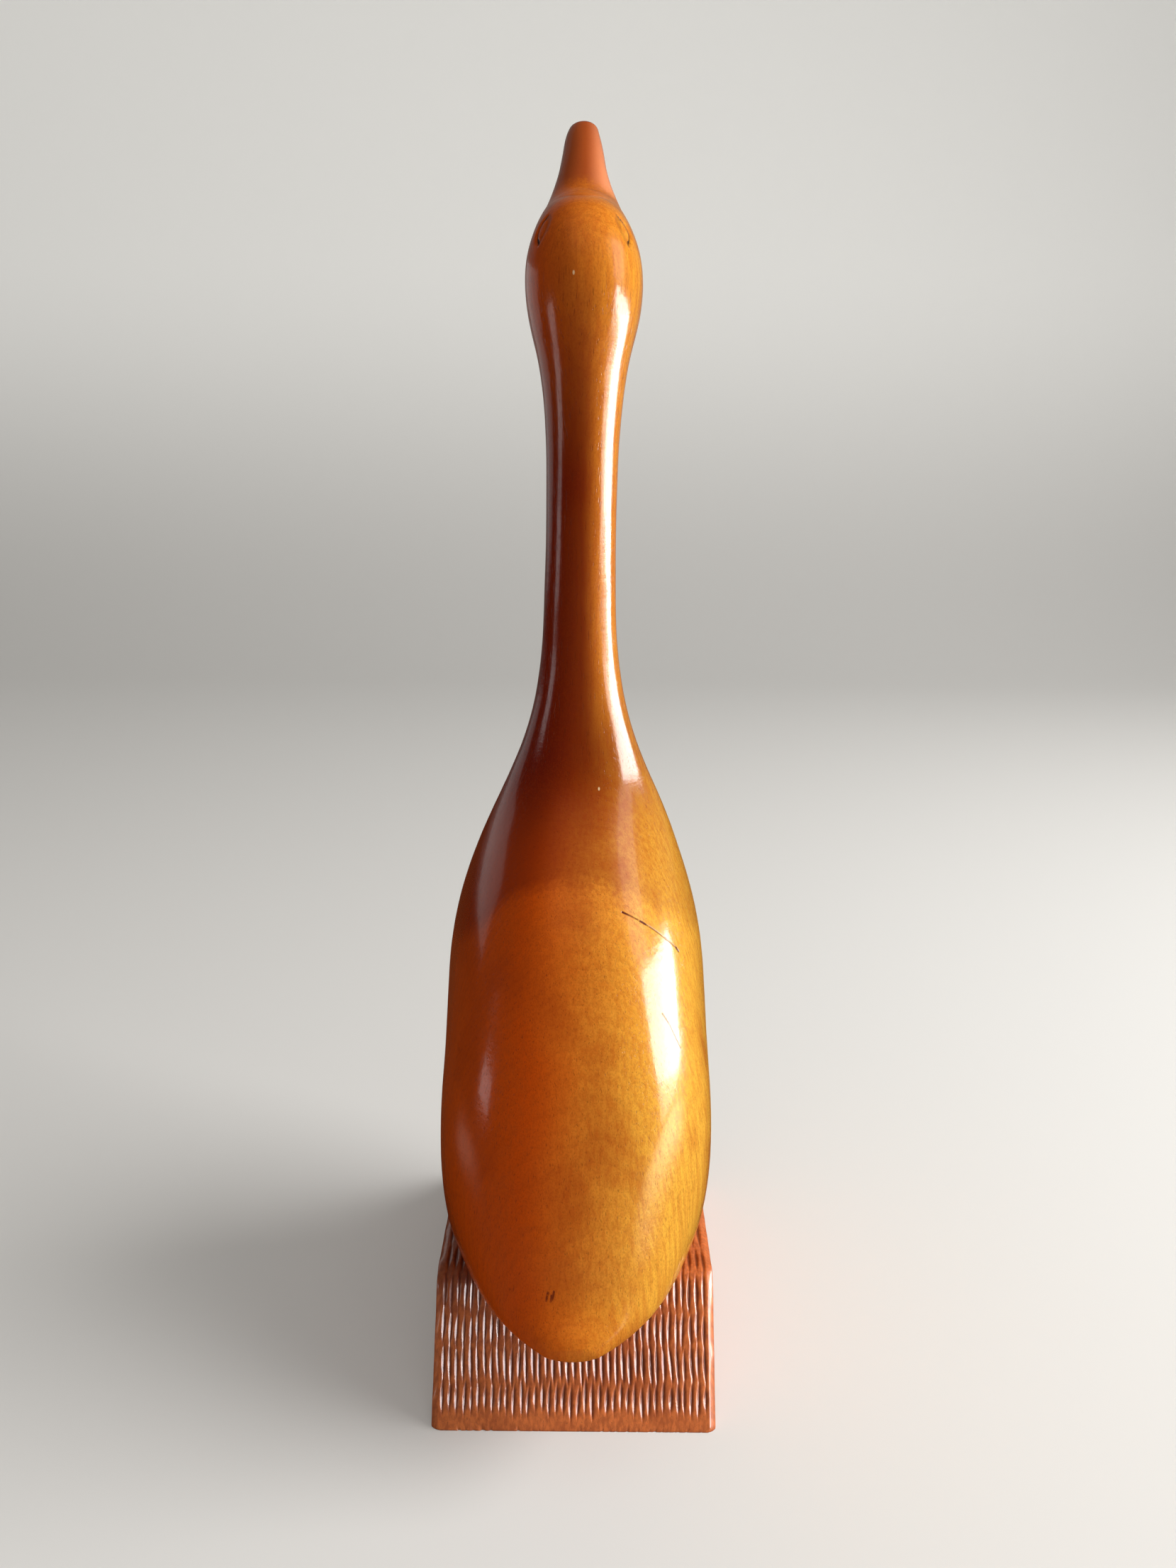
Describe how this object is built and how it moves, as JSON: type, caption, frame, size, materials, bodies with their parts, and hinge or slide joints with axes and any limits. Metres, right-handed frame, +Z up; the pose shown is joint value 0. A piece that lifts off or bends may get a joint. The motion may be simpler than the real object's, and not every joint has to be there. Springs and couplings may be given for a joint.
{
  "type": "wooden loon carving",
  "caption": "Wooden loon carving: a slender long-necked bird with its bill raised, standing on a gouge-cut wedge-ended base.",
  "frame": {"origin": "centre of the flat underside of the base", "axes": "+Z up, +Y the way the bird looks (tail at -Y), +X to the bird's right"},
  "size_m": [0.07, 0.123, 0.308],
  "materials": {
    "carved_wood": "clear amber varnish on the bird; brown stain and varnish on the base and the bill"
  },
  "bodies": {
    "root": {"loon_carving": "carved_wood"}
  },
  "joints": []
}
